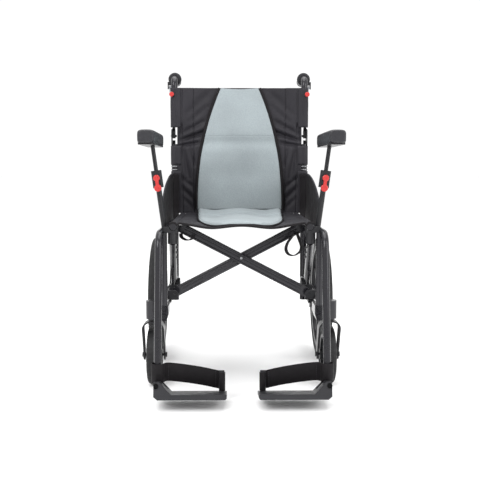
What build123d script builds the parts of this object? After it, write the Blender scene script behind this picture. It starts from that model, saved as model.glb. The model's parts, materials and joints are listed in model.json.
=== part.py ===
"""Folding transport wheelchair: two side frames joined by a scissor brace.

Millimetres. +Z up, the chair faces -Y, X runs across it.  The origin is on the
floor under the middle of the chair.  The -X half is drawn and mirrored to +X.
"""

from build123d import *
import math
import os

os.makedirs("parts", exist_ok=True)

# ---- side frame -------------------------------------------------------------
TUBE = 10  # radius of the frame tubes
POST_TUBE = 11  # radius of the back posts
RAIL_X, RAIL_Z = 226, 452  # long top rail that bends down into the front leg
POST_X, POST_Y = 218, 250  # back posts
FRONT_Y = -268  # where the top rail turns down
LEG_SLANT = 11  # forward lean of the front leg, and of the footplate
LEG_END_Z = 106
UPRIGHT_Y = -212
HEAD_TOP = 246  # top of the caster head, where the upright stands
LOWER_Z = 258
STEM_X, STEM_Y = 254, -168  # caster stems

# ---- scissor brace ----------------------------------------------------------
PIVOT_X, PIVOT_Z = 195, 267  # lower brace pivots
CROSS_Z = 374  # height of the crossing bolt
SEAT_X, SEAT_Z = 191, 468  # seat rails
SEAT_FRONT, SEAT_REAR = -217, 200
ARM_WIDE, ARM_THICK = 28, 13.5
ARM_A_Y, ARM_B_Y = -112.6, -127.4  # mid planes of the two arms
FOOT_FRONT, FOOT_REAR = -150, -62

# ---- back -------------------------------------------------------------------
HINGE_Y, HINGE_Z = 270, 740  # half-fold hinge axis
GAP_LOW, GAP_HIGH = 712, 768  # the posts stop here, above and below the hinge
GRIP_Z, GRIP_END = 931, 365
BACK_TOP = 898

# ---- wheels -----------------------------------------------------------------
AXLE_Y, WHEEL_R, WHEEL_X = 200, 200, 273
CASTER_R, CASTER_TRAIL = 85, 40

# ---- armrest ----------------------------------------------------------------
ARM_Y, ARM_FOOT_X, ARM_LEAN = -110, 226, 7.6
ARM_FOOT_Z = 470

# ---- footplate --------------------------------------------------------------
PLATE_PIVOT = (-226, -344.5, 58)
PLATE_LONG, PLATE_TOP, PLATE_LOW = 184, -22, -36  # from the pivot
PLATE_FRONT, PLATE_BACK = -50.5, 50

FIT = 0.05  # radial running clearance

TAN = math.tan(math.radians(LEG_SLANT))


def write(piece, name):
    """Label a finished piece and write it as parts/name.step."""
    piece.label = name
    export_step(piece, f"parts/{name}.step")


def write_pair(piece, name):
    """Write the -X piece as it is and its mirror image for +X."""
    write(piece, f"{name}_left")
    write(mirror(piece, about=Plane.YZ), f"{name}_right")


def rod(start, end, radius, mode=Mode.ADD):
    """A round bar between two points."""
    run = Vector(*end) - Vector(*start)
    with BuildSketch(Plane(origin=start, z_dir=run)) as end_face:
        Circle(radius)
    extrude(end_face.sketch, amount=run.length, mode=mode)


def block(low, high, mode=Mode.ADD, rounding=0):
    """A box between two corners, with its upright edges rounded if asked."""
    middle = [(a + b) / 2 for a, b in zip(low, high)]
    size = [b - a for a, b in zip(low, high)]
    with BuildSketch(Plane.XY.offset(low[2])) as base:
        with Locations((middle[0], middle[1])):
            if rounding:
                RectangleRounded(size[0], size[1], rounding)
            else:
                Rectangle(size[0], size[1])
    extrude(base.sketch, amount=size[2], mode=mode)


def leg_point(z):
    """The centre of the slanted front leg at height z."""
    return (-RAIL_X, FRONT_Y - (RAIL_Z - z) * TAN, z)


def largest(built):
    """The biggest solid of a trimmed tube, without the offcuts beyond the joint."""
    return built.part.solids().sort_by(SortBy.VOLUME)[-1]


def group(*built):
    """Pieces that touch but stay separate solids in one node."""
    return Compound([largest(piece) for piece in built])


# ============================ side frames ====================================
with BuildPart() as back_post:
    rod((-POST_X, POST_Y, 182), (-POST_X, POST_Y, GAP_LOW), POST_TUBE)
write_pair(back_post.part, "back_post")

with BuildPart() as side_rail:
    with BuildLine():
        FilletPolyline(
            (-RAIL_X, POST_Y + 12, RAIL_Z),
            (-RAIL_X, FRONT_Y, RAIL_Z),
            leg_point(LEG_END_Z),
            radius=46,
        )
    with BuildSketch(Plane(origin=(-RAIL_X, POST_Y + 12, RAIL_Z), z_dir=(0, -1, 0))):
        Circle(TUBE)
    sweep()
    add(back_post.part, mode=Mode.SUBTRACT)

# the footplate's own plane: x inboard, y to the rear, z square to the plate
PLATE_PLANE = Plane(
    origin=PLATE_PIVOT,
    x_dir=(1, 0, 0),
    z_dir=(0, math.sin(math.radians(LEG_SLANT)), math.cos(math.radians(LEG_SLANT))),
)
# the same origin seen from the front: x inboard, y up, z towards the toes
PIVOT_FRONT = Plane(origin=PLATE_PIVOT, x_dir=(1, 0, 0), z_dir=-PLATE_PLANE.y_dir)

with BuildPart() as footrest_post:  # inner tube with the eye that carries the plate
    rod(leg_point(LEG_END_Z - 0.2), PLATE_PIVOT, TUBE - 2)
    with BuildSketch(PIVOT_FRONT.offset(-11)):
        Circle(10)
    extrude(amount=22)
    with BuildSketch(PIVOT_FRONT.offset(-12)):
        Circle(4 + FIT)
    extrude(amount=24, mode=Mode.SUBTRACT)

write_pair(group(side_rail, footrest_post), "side_rail")

with BuildPart() as front_upright:
    rod((-POST_X, UPRIGHT_Y, HEAD_TOP), (-POST_X, UPRIGHT_Y, RAIL_Z - 1), TUBE)
    add(side_rail.part, mode=Mode.SUBTRACT)

with BuildPart() as lower_rail:
    rod((-POST_X, UPRIGHT_Y, LOWER_Z), (-POST_X, POST_Y, LOWER_Z), TUBE)
    add(front_upright.part, mode=Mode.SUBTRACT)
    add(back_post.part, mode=Mode.SUBTRACT)

with BuildPart() as collar:  # stands on the diagonal and carries the seat-rail cradle
    rod((-193, -205, 420), (-193, -205, 450.8), 13.5)

with BuildPart() as diagonal:
    rod((-193, -205, 424), (-208, 44, 254), TUBE)
    add(lower_rail.part, mode=Mode.SUBTRACT)
    add(collar.part, mode=Mode.SUBTRACT)
    split(bisect_by=Plane.XY.offset(420), keep=Keep.BOTTOM)

write_pair(group(front_upright, lower_rail, diagonal), "frame_struts")

# ---- caster head: casting under the upright that holds the stem barrel -------
HEAD_LOW, BARREL_LOW = 204, 201
with BuildPart() as caster_head:
    with BuildSketch(Plane.XZ.offset(222)):
        with BuildLine():
            Polyline(
                (-231, 222), (-226, HEAD_LOW), (-211, HEAD_LOW),
                (-205, 222), (-205, HEAD_TOP), (-231, HEAD_TOP), close=True,
            )
        make_face()
    extrude(amount=-74)
    block((-STEM_X, STEM_Y - 13, 216), (-228, STEM_Y + 13, HEAD_TOP))
    rod((-STEM_X, STEM_Y, BARREL_LOW), (-STEM_X, STEM_Y, BARREL_LOW + 52), 20)
    rod((-STEM_X, STEM_Y, BARREL_LOW - 5), (-STEM_X, STEM_Y, BARREL_LOW + 44), 8 + FIT,
        mode=Mode.SUBTRACT)
write_pair(caster_head.part, "caster_head")

# ---- rear axle plate with the band-brake drum and the axle -------------------
PLATE_FACE = -POST_X - POST_TUBE  # the plate lies against the outside of the post
with BuildPart() as axle_plate:
    with BuildSketch(Plane.YZ.offset(PLATE_FACE)):
        with BuildLine():
            Polyline((178, 182), (178, 222), (236, 292), (264, 292), (264, 182), close=True)
        make_face()
        with Locations((218, 212), (232, 232), (246, 262)):
            Circle(4, mode=Mode.SUBTRACT)
    extrude(amount=-7)
    rod((PLATE_FACE - 6, AXLE_Y, WHEEL_R), (-248, AXLE_Y, WHEEL_R), 37)
    rod((PLATE_FACE + 9, AXLE_Y, WHEEL_R), (PLATE_FACE, AXLE_Y, WHEEL_R), 11)
    rod((-240, AXLE_Y, WHEEL_R), (-289, AXLE_Y, WHEEL_R), 6)
write_pair(axle_plate.part, "axle_plate")

# ---- cloth-covered side guard between the arm socket and the back post -------
with BuildPart() as side_guard:
    with BuildSketch(Plane.YZ.offset(-220)):
        with BuildLine():
            Polyline((236, 474), (236, 614), (174, 612))
            Spline((174, 612), (106, 602), (-10, 574), (-80, 530), (-76, 474))
            Line((-76, 474), (236, 474))
        make_face()
    extrude(amount=-4)
TOE_OUT = Axis((-220, 236, 0), (0, 0, 1))
write_pair(side_guard.part.rotate(TOE_OUT, 1.9), "side_guard")

# ---- armrest socket: leaning tube, clamp block and rivet ----------------------
LEAN = math.radians(ARM_LEAN)


def arm_point(z, forward=0):
    """A point on the leaning axis of the armrest at height z."""
    return (-ARM_FOOT_X - (z - ARM_FOOT_Z) * math.tan(LEAN), ARM_Y - forward, z)


SOCKET_LOW, SOCKET_HIGH = 574, 624
ARM_AXIS = Plane(origin=arm_point(SOCKET_LOW), x_dir=(math.cos(LEAN), 0, math.sin(LEAN)),
                 z_dir=(-math.sin(LEAN), 0, math.cos(LEAN)))
# the clamp block's upright plane at the release lever, x inboard and z forward
LEVER_FACE = Plane(origin=arm_point(588), x_dir=ARM_AXIS.x_dir, z_dir=(0, -1, 0))
LATCH_PIN = 22
with BuildPart() as arm_socket:
    rod(arm_point(RAIL_Z), arm_point(SOCKET_LOW + 2), 8)
    with BuildSketch(ARM_AXIS):
        RectangleRounded(29, 28, 6)
    extrude(amount=SOCKET_HIGH - SOCKET_LOW)
    for x in (-6.8, 6.8):  # ears for the release lever's pin
        with BuildSketch(LEVER_FACE.offset(12)):
            with Locations((x, 0)):
                RectangleRounded(2.6, 8, 1)
        extrude(amount=LATCH_PIN - 12 + 2.6)
    with BuildSketch(Plane(origin=LEVER_FACE.from_local_coords((-8, 0, LATCH_PIN)),
                           z_dir=LEVER_FACE.x_dir)):
        Circle(1.6)
    extrude(amount=16)
    rod(arm_point(486), arm_point(SOCKET_HIGH + 5), 6 + FIT, mode=Mode.SUBTRACT)
    add(side_rail.part, mode=Mode.SUBTRACT)
write_pair(largest(arm_socket), "arm_socket")

# ---- brackets: hinge cheeks, seat-rail cradles, brace pivot blocks -----------
CHEEK = (-POST_X - 11, -POST_X - 8)
TONGUE = (-POST_X - 7.8, -POST_X + 1.6)
with BuildPart() as back_hinge:
    with BuildSketch(Plane.YZ.offset(CHEEK[0])):
        with BuildLine():
            Polyline((240, 702), (240, 758), (258, 764), (278, 752), (278, 716), (262, 702),
                     close=True)
        make_face()
    extrude(amount=CHEEK[1] - CHEEK[0])
    block((-POST_X - 11, 262.5, 702), (-POST_X + 11, 276, 712))
    add(back_post.part, mode=Mode.SUBTRACT)
    rod((-POST_X - 14, HINGE_Y, HINGE_Z), (TONGUE[1] + 4, HINGE_Y, HINGE_Z), 4)

with BuildPart() as cradles:
    for y in (-205, 130):
        block((-RAIL_X + 8, y - 12, 451), (-SEAT_X + 13, y + 12, 467))
        block((-SEAT_X - 13, y - 12, 451), (-SEAT_X + 13, y + 12, 467))
    rod((-SEAT_X, SEAT_FRONT - 5, SEAT_Z), (-SEAT_X, SEAT_REAR, SEAT_Z), TUBE + 1.4,
        mode=Mode.SUBTRACT)
    add(side_rail.part, mode=Mode.SUBTRACT)

with BuildPart() as brace_blocks:
    for low, high in ((FOOT_FRONT - 9, FOOT_FRONT - 1), (FOOT_REAR + 1, FOOT_REAR + 9)):
        block((-POST_X + 2, low, 254), (-PIVOT_X, high, 280))
        with BuildSketch(Plane.XZ.offset(-low)):
            with Locations((-PIVOT_X, PIVOT_Z)):
                Circle(13)
        extrude(amount=-(high - low))
    rod((-PIVOT_X, FOOT_FRONT - 13, PIVOT_Z), (-PIVOT_X, FOOT_REAR + 13, PIVOT_Z), 4)
    add(lower_rail.part, mode=Mode.SUBTRACT)

brackets = [
    solid
    for piece in (back_hinge, cradles, collar, brace_blocks)
    for solid in piece.part.solids()
    if solid.volume > 300
]
write_pair(Compound(brackets), "frame_brackets")

# ---- fasteners: hex heads and rivets on the side frame ------------------------
with BuildPart() as frame_bolts:
    for z in (216, 240):  # through the caster head
        with BuildSketch(Plane.XZ.offset(222.2)):
            with Locations((-218, z)):
                RegularPolygon(6.5, 6)
        extrude(amount=5)
    for z in (152, 176):  # footrest length setting
        y = leg_point(z)[1]
        rod((-RAIL_X, y - TUBE - 4, z), (-RAIL_X, y - TUBE - 1, z), 3.4)
    rod((-237.5, ARM_Y - 13, 554), (-237.5, ARM_Y - 8.2, 554), 3)
write_pair(frame_bolts.part, "frame_bolts")

# ================================ scissor brace ================================
def brace_arm(pivot, rail, mid_y):
    """One arm: flat bar, pivot tube at its foot, a saddle for the seat rail."""
    reach = math.dist(pivot, rail)
    with BuildPart() as arm:
        with BuildSketch(Plane(origin=(pivot[0], mid_y + ARM_THICK / 2, pivot[1]),
                               x_dir=(rail[0] - pivot[0], 0, rail[1] - pivot[1]),
                               z_dir=(0, -1, 0))):
            with Locations((reach / 2, 0)):
                SlotCenterToCenter(reach, ARM_WIDE)
        extrude(amount=ARM_THICK)
        rod((pivot[0], FOOT_FRONT, pivot[1]), (pivot[0], FOOT_REAR, pivot[1]), 9)
        rod((pivot[0], FOOT_FRONT - 1, pivot[1]), (pivot[0], FOOT_REAR + 1, pivot[1]),
            4 + FIT, mode=Mode.SUBTRACT)
        rod((0, -160, CROSS_Z), (0, -80, CROSS_Z), 4 + FIT, mode=Mode.SUBTRACT)
        rod((rail[0], SEAT_FRONT - 5, rail[1]), (rail[0], SEAT_REAR + 5, rail[1]), TUBE + 1,
            mode=Mode.SUBTRACT)
        split(bisect_by=Plane.XY.offset(SEAT_Z - 2), keep=Keep.BOTTOM)
    return arm


arm_a = brace_arm((-PIVOT_X, PIVOT_Z), (SEAT_X, SEAT_Z), ARM_A_Y)
arm_b = brace_arm((PIVOT_X, PIVOT_Z), (-SEAT_X, SEAT_Z), ARM_B_Y)
write(largest(arm_a), "brace_arm_a")
write(largest(arm_b), "brace_arm_b")

with BuildPart() as brace_bolt:  # shoulder bolt with a nut behind
    rod((0, ARM_B_Y - 7, CROSS_Z), (0, ARM_A_Y + 11, CROSS_Z), 4)
    rod((0, ARM_B_Y - 12, CROSS_Z), (0, ARM_B_Y - 7, CROSS_Z), 7)
    rod((0, ARM_A_Y + 7, CROSS_Z), (0, ARM_A_Y + 12, CROSS_Z), 7)
write(brace_bolt.part, "brace_bolt")

for side, name in ((-1, "seat_rail_left"), (1, "seat_rail_right")):
    with BuildPart() as seat_rail:
        rod((side * SEAT_X, SEAT_FRONT, SEAT_Z), (side * SEAT_X, SEAT_REAR, SEAT_Z), TUBE + 1)
        fillet(seat_rail.edges().filter_by(GeomType.CIRCLE), 2.5)
    write(seat_rail.part, name)

# ================================ seat and back ================================
SLING_HALF = SEAT_X - 14


def seat_line(x):
    """Height of the seat cloth across the chair: two shallow hollows, a low crown."""
    t = x / SLING_HALF
    hollow = (9 + 7 * math.cos(math.pi * t) ** 2) * (1 - t * t)
    return 474 - hollow + 4 * math.exp(-9 * t * t)


def cloth_slab(half, low, high, front, rear):
    """A slab that follows the seat's line, between two offsets from it."""
    stops = [half * (i / 6 - 1) for i in range(13)]
    with BuildPart() as slab:
        with BuildSketch(Plane.XZ.offset(-front)):
            with BuildLine():
                Spline(*[(x, seat_line(x) + low) for x in stops])
                Line((half, seat_line(half) + low), (half, seat_line(half) + high))
                Spline(*[(x, seat_line(x) + high) for x in reversed(stops)])
                Line((-half, seat_line(half) + high), (-half, seat_line(half) + low))
            make_face()
        extrude(amount=-(rear - front))
    return slab


write(cloth_slab(SLING_HALF, 0, 4, -205, 212).part, "seat_sling")
write(cloth_slab(132, 5, 18, -201, 205).part, "seat_pad")

BACK_HALF = POST_X - POST_TUBE - 2
with BuildPart() as back_sling_upper:
    block((-BACK_HALF, 246, HINGE_Z + 3), (BACK_HALF, 250, BACK_TOP))
write(back_sling_upper.part, "back_sling_upper")
with BuildPart() as back_sling_lower:
    block((-BACK_HALF, 246, 480), (BACK_HALF, 250, HINGE_Z - 3))
write(back_sling_lower.part, "back_sling_lower")


def pad_half(z):
    """Half width of the pale back panel: narrow at the top, wide at the seat."""
    t = (BACK_TOP - z) / (BACK_TOP - 500)
    return 66 + 80 * (1 - max(0, 1 - t) ** 2.2)


def back_pad(low, high):
    """A stretch of the pale panel between two heights."""
    stops = [low + (high - low) * i / 5 for i in range(6)]
    with BuildPart() as pad:
        with BuildSketch(Plane.XZ.offset(-245.5)):
            with BuildLine():
                Spline(*[(pad_half(z), z) for z in stops])
                Line((pad_half(high), high), (-pad_half(high), high))
                Spline(*[(-pad_half(z), z) for z in reversed(stops)])
                Line((-pad_half(low), low), (pad_half(low), low))
            make_face()
        extrude(amount=7.5)
    return pad


write(back_pad(HINGE_Z + 3, BACK_TOP - 3).part, "back_pad_upper")
write(back_pad(500, HINGE_Z - 3).part, "back_pad_lower")

# ============================ folding back, upper half =========================
with BuildPart() as upper_tube:
    with BuildLine():
        FilletPolyline(
            (-POST_X, POST_Y, GAP_HIGH), (-POST_X, POST_Y, GRIP_Z),
            (-POST_X, GRIP_END, GRIP_Z), radius=26,
        )
    with BuildSketch(Plane.XY.offset(GAP_HIGH)):
        with Locations((-POST_X, POST_Y)):
            Circle(POST_TUBE)
    sweep()
    with BuildSketch(Plane.YZ.offset(TONGUE[0])):
        with BuildLine():
            Polyline((250, 766), (250, 782), (262, 782), (277, 752), (277, 738), (270, 732),
                     (263, 736), (262.5, 756), close=True)
        make_face()
        with Locations((HINGE_Y, HINGE_Z)):
            Circle(4 + FIT, mode=Mode.SUBTRACT)
    extrude(amount=TONGUE[1] - TONGUE[0])

with BuildPart() as brake_clamp:
    with BuildSketch(Plane.XZ.offset(-270)):
        with Locations((-POST_X, GRIP_Z)):
            Circle(15)
            Circle(POST_TUBE, mode=Mode.SUBTRACT)
    extrude(amount=-11)
    block((-242, 271, 897), (-226, 282.6, 921))
    block((-239, 270, 896), (-229, 284, 909.5), mode=Mode.SUBTRACT)
    rod((-243, 276, 903), (-225, 276, 903), 2.5 + FIT, mode=Mode.SUBTRACT)
    rod((-POST_X, 265, GRIP_Z), (-POST_X, 285, GRIP_Z), POST_TUBE, mode=Mode.SUBTRACT)

write_pair(group(upper_tube, brake_clamp), "back_post_upper")

with BuildPart() as handle_grip:
    with BuildSketch(Plane.YZ.offset(-POST_X)):
        with BuildLine():
            Polyline((283, GRIP_Z + 11.02), (283, GRIP_Z + 22), (288, GRIP_Z + 22),
                     (291, GRIP_Z + 16), (366, GRIP_Z + 16), (372, GRIP_Z + 13),
                     (372, GRIP_Z), (GRIP_END + 0.2, GRIP_Z), (GRIP_END + 0.2, GRIP_Z + 11.02),
                     close=True)
        make_face()
    revolve(axis=Axis((-POST_X, 0, GRIP_Z), (0, 1, 0)))
    for n in range(7):  # finger grooves
        with BuildSketch(Plane.XZ.offset(-(297 + n * 10))):
            with Locations((-POST_X, GRIP_Z)):
                Circle(17)
                Circle(14.8, mode=Mode.SUBTRACT)
        extrude(amount=-3, mode=Mode.SUBTRACT)
write_pair(handle_grip.part, "handle_grip")

with BuildPart() as brake_lever:
    with BuildLine():
        FilletPolyline((-234, 276, 903), (-236, 300, 899), (-240, 362, 886), radius=40)
    with BuildSketch(Plane(origin=(-234, 276, 903), z_dir=(-2, 24, -4))):
        RectangleRounded(9, 6, 2.5)
    sweep()
    rod((-238.5, 276, 903), (-229.5, 276, 903), 4.6)
    rod((-242, 276, 903), (-226, 276, 903), 2.5)
write_pair(brake_lever.part, "brake_lever")

with BuildPart() as back_catch:
    rod((-226, 236, 876), (-226, 227, 876), 8)
    fillet(back_catch.faces().sort_by(Axis.Y)[0].edges(), 2.5)
write_pair(back_catch.part, "back_catch")

# ================================== armrests ===================================
TRAY_LOW, TRAY_HIGH, PAD_HIGH = 695, 703, 738
PAD_IN, PAD_OUT = -237, -289.5
with BuildPart() as arm_post:
    rod(arm_point(545), arm_point(TRAY_LOW + 2), 6)
    for n in range(6):  # height-setting holes
        x, y, z = arm_point(600 + n * 15)
        rod((x, y - 10, z), (x, y - 4, z), 1.8, mode=Mode.SUBTRACT)
    block((PAD_OUT + 3, ARM_Y - 112, TRAY_LOW), (PAD_IN - 3, ARM_Y + 174, TRAY_HIGH), rounding=12)
write_pair(arm_post.part, "arm_post")

with BuildPart() as arm_pad:
    block((PAD_OUT, ARM_Y - 125, TRAY_HIGH + 0.2), (PAD_IN, ARM_Y + 187, PAD_HIGH), rounding=16)
    fillet(arm_pad.faces().sort_by(Axis.Z)[-1].edges(), 11)
write_pair(arm_pad.part, "arm_pad")

# bone-shaped release lever, a rocker on the pin at its waist
with BuildPart() as arm_lever:
    with BuildSketch(LEVER_FACE.offset(LATCH_PIN - 3.5)):
        with Locations((0, 14)):
            Circle(9.5)
        with Locations((0, -15)):
            Circle(10.5)
        Rectangle(10, 30)
    extrude(amount=7)
    fillet(arm_lever.faces().sort_by(Axis.Y)[0].edges(), 2)
    with BuildSketch(Plane(origin=LEVER_FACE.from_local_coords((-8, 0, LATCH_PIN)),
                           z_dir=LEVER_FACE.x_dir)):
        Circle(1.6 + FIT)
    extrude(amount=16, mode=Mode.SUBTRACT)
write_pair(arm_lever.part, "arm_lever")

# ================================= footplates ==================================
with BuildPart() as footplate:
    with BuildSketch(PIVOT_FRONT.offset(-PLATE_BACK)):
        with BuildLine():
            Polyline(
                (-6, PLATE_LOW + 8), (4, PLATE_LOW), (PLATE_LONG - 4, PLATE_LOW),
                (PLATE_LONG, PLATE_LOW + 4), (PLATE_LONG, PLATE_TOP), (40, PLATE_TOP),
                (9, 10), (-6, 10), close=True,
            )
        make_face()
    extrude(amount=PLATE_BACK - PLATE_FRONT)
    # the raised elbow only stands over the front part of the plate
    with BuildSketch(PIVOT_FRONT.offset(-PLATE_BACK - 1)):
        with Locations((20, PLATE_TOP + 25)):
            Rectangle(80, 50)
    extrude(amount=31, mode=Mode.SUBTRACT)
    # slot for the eye, with room for the leg as the plate swings up
    with BuildSketch(PIVOT_FRONT.offset(-11.6)):
        with Locations((5, 4)):
            Rectangle(54, 34)
    extrude(amount=23.2, mode=Mode.SUBTRACT)
    with BuildSketch(PIVOT_FRONT.offset(-21)):
        Circle(4 + FIT)
    extrude(amount=61, mode=Mode.SUBTRACT)
    with BuildSketch(PIVOT_FRONT.offset(39.9)):
        Circle(7.5)
    extrude(amount=-PLATE_FRONT, mode=Mode.SUBTRACT)

with BuildPart() as heel_post:
    with BuildSketch(PLATE_PLANE.offset(PLATE_TOP + 0.2)):
        with Locations((PLATE_LONG - 14, 36)):
            RectangleRounded(15, 9, 3)
    extrude(amount=56)

with BuildPart() as pivot_pin:  # headed pin, its head sunk in the elbow's front
    with BuildSketch(PIVOT_FRONT.offset(-21)):
        Circle(4)
    extrude(amount=61)
    with BuildSketch(PIVOT_FRONT.offset(40)):
        Circle(7)
    extrude(amount=4)

write_pair(group(footplate, heel_post, pivot_pin), "footplate")

STRAP_RUN = ((-243, -316), (-205, -303), (-140, -290), (-70, -297))
STRAP_THICK = 2.6
with BuildPart() as heel_strap:
    with BuildSketch(Plane.XY.offset(62)):
        with BuildLine():
            Spline(*STRAP_RUN)
            Line(STRAP_RUN[-1], (STRAP_RUN[-1][0], STRAP_RUN[-1][1] + STRAP_THICK))
            Spline(*[(x, y + STRAP_THICK) for x, y in reversed(STRAP_RUN)])
            Line((STRAP_RUN[0][0], STRAP_RUN[0][1] + STRAP_THICK), STRAP_RUN[0])
        make_face()
    extrude(amount=50)
write_pair(heel_strap.part, "heel_strap")

# ================================= rear wheels =================================
AXLE = Axis((-WHEEL_X, AXLE_Y, WHEEL_R), (1, 0, 0))
with BuildPart() as rear_tyre:
    with BuildSketch(Plane.XY.offset(WHEEL_R)) as tyre_cut:
        with Locations((-WHEEL_X, AXLE_Y + 184)):
            RectangleRounded(32, 32, 12)
        with Locations((-WHEEL_X, AXLE_Y + 168)):
            Rectangle(40, 8, mode=Mode.SUBTRACT)
    revolve(axis=AXLE)
write_pair(rear_tyre.part, "rear_tyre")

with BuildPart() as rear_rim:
    with BuildSketch(Plane.XY.offset(WHEEL_R)):
        with Locations((-WHEEL_X, AXLE_Y + 164)):
            Rectangle(26, 15.8)
        with Locations((-WHEEL_X + 2, AXLE_Y + 15)):
            Rectangle(36, 16)
    revolve(axis=AXLE)
    for n in range(12):
        turn = math.radians(n * 30)
        near, far = 20, 158
        rod((-WHEEL_X, AXLE_Y + near * math.cos(turn), WHEEL_R + near * math.sin(turn)),
            (-WHEEL_X, AXLE_Y + far * math.cos(turn), WHEEL_R + far * math.sin(turn)), 6.5)
    rod((-240, AXLE_Y, WHEEL_R), (-300, AXLE_Y, WHEEL_R), 6 + FIT, mode=Mode.SUBTRACT)
write_pair(rear_rim.part, "rear_rim")

# =================================== casters ===================================
CASTER_Y = STEM_Y + CASTER_TRAIL
CROWN = BARREL_LOW - 6  # top of the fork
CASTER_AXIS = Axis((-STEM_X, CASTER_Y, CASTER_R), (1, 0, 0))
with BuildPart() as caster_fork:
    with BuildSketch(Plane.XZ.offset(-STEM_Y + 60)):
        with Locations((-STEM_X, CROWN - 86)):
            RectangleRounded(64, 172, 26)
            RectangleRounded(55, 163, 22, mode=Mode.SUBTRACT)
    extrude(amount=-120)
with BuildPart() as fork_side:
    with BuildSketch(Plane.YZ.offset(-STEM_X - 40)):
        with BuildLine():
            Polyline((STEM_Y - 21, CROWN), (STEM_Y + 21, CROWN), (CASTER_Y + 13, 96),
                     (CASTER_Y - 14, 92), close=True)
        make_face()
        with Locations((CASTER_Y, CASTER_R)):
            Circle(15)
    extrude(amount=80)
with BuildPart() as caster_fork_set:
    add(caster_fork.part)
    add(fork_side.part, mode=Mode.INTERSECT)
    rod((-STEM_X, STEM_Y, CROWN - 1), (-STEM_X, STEM_Y, BARREL_LOW + 42), 8)
    rod((-STEM_X, STEM_Y, CROWN - 1), (-STEM_X, STEM_Y, BARREL_LOW - 1.4), 14)
    rod((-STEM_X - 35, CASTER_Y, CASTER_R), (-STEM_X + 35, CASTER_Y, CASTER_R), 4)
    for x in (-STEM_X - 36, -STEM_X + 32):
        rod((x, CASTER_Y, CASTER_R), (x + 4, CASTER_Y, CASTER_R), 7)
write_pair(caster_fork_set.part, "caster_fork")

with BuildPart() as caster_tyre:
    with BuildSketch(Plane.XY.offset(CASTER_R)):
        with Locations((-STEM_X, CASTER_Y + 71)):
            RectangleRounded(36, 28, 10)
        with Locations((-STEM_X, CASTER_Y + 56)):
            Rectangle(44, 6, mode=Mode.SUBTRACT)
    revolve(axis=CASTER_AXIS)
write_pair(caster_tyre.part, "caster_tyre")

with BuildPart() as caster_hub:
    with BuildSketch(Plane.XY.offset(CASTER_R)):
        with Locations((-STEM_X, CASTER_Y + 54)):
            Rectangle(30, 9.8)
        with Locations((-STEM_X, CASTER_Y + 32)):
            Rectangle(8, 40)
        with Locations((-STEM_X, CASTER_Y + 10)):
            Rectangle(46, 12)
    revolve(axis=CASTER_AXIS)
    with BuildSketch(Plane.YZ.offset(-STEM_X - 10)):
        with Locations((CASTER_Y, CASTER_R)):
            with PolarLocations(33, 6):
                Circle(10)
    extrude(amount=20, mode=Mode.SUBTRACT)
    rod((-STEM_X - 30, CASTER_Y, CASTER_R), (-STEM_X + 30, CASTER_Y, CASTER_R), 4 + FIT,
        mode=Mode.SUBTRACT)
write_pair(caster_hub.part, "caster_hub")

# ============================ webbing loops under the seat =====================
def webbing_loop(name, middle, wide, tall, width, tilt):
    """A flat band bent into a loop that hangs under a seat rail."""
    with BuildPart() as loop:
        with BuildSketch(Plane.XZ.offset(middle[1] * -1 + width / 2)):
            with Locations(Location((middle[0], middle[2], 0), tilt)):
                Ellipse(wide / 2, tall / 2)
                Ellipse(wide / 2 - 1.8, tall / 2 - 1.8, mode=Mode.SUBTRACT)
        extrude(amount=-width)
    write(loop.part, name)


webbing_loop("webbing_loop_left", (-156, -168, 436), 36, 22, 14, -15)
webbing_loop("webbing_loop_right", (150, -168, 408), 40, 54, 14, -12)
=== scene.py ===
"""Looks for the folding transport wheelchair.  Metres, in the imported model's own frame.

The chair faces -Y and stands on z = 0.  _left pieces are on -X, _right pieces on +X.
"""

import json
import math

import bpy
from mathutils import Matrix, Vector, noise


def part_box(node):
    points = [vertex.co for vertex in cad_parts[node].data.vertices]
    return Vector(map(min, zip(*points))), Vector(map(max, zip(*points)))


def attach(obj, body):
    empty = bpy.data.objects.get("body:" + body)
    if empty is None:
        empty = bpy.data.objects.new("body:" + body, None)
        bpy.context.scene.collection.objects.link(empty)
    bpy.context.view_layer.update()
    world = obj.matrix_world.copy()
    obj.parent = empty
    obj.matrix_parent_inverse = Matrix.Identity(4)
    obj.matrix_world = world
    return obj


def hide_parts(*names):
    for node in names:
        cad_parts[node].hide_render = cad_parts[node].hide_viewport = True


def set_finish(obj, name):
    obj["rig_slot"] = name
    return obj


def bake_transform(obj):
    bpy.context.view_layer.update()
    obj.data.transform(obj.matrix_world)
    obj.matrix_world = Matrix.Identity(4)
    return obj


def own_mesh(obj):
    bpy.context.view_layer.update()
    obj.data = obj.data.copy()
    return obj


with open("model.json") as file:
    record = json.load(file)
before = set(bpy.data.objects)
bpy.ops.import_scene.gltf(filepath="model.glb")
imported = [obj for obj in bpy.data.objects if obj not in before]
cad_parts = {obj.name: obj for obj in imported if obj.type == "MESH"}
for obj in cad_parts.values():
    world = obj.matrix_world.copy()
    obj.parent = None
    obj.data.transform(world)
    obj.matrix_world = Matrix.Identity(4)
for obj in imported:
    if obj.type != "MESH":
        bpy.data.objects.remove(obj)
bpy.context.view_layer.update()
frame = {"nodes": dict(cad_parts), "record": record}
SIDES = (("left", -1), ("right", 1))

# ---- places taken over from the CAD -------------------------------------------
POST_X, POST_Y = 0.218, 0.250
RAIL_X, RAIL_Z, RAIL_R = 0.191, 0.468, 0.011  # seat rails
HINGE_Z = 0.740
BACK_TOP, BACK_LOW = 0.898, 0.480
SEAT_FRONT, SEAT_REAR = -0.214, 0.212
LEG_SLANT = math.radians(11)
PLATE_PIVOT = (0.226, -0.3445, 0.058)
SIDE_STRUT = (Vector((0.193, -0.205, 0.424)), Vector((0.208, 0.044, 0.254)))

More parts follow.
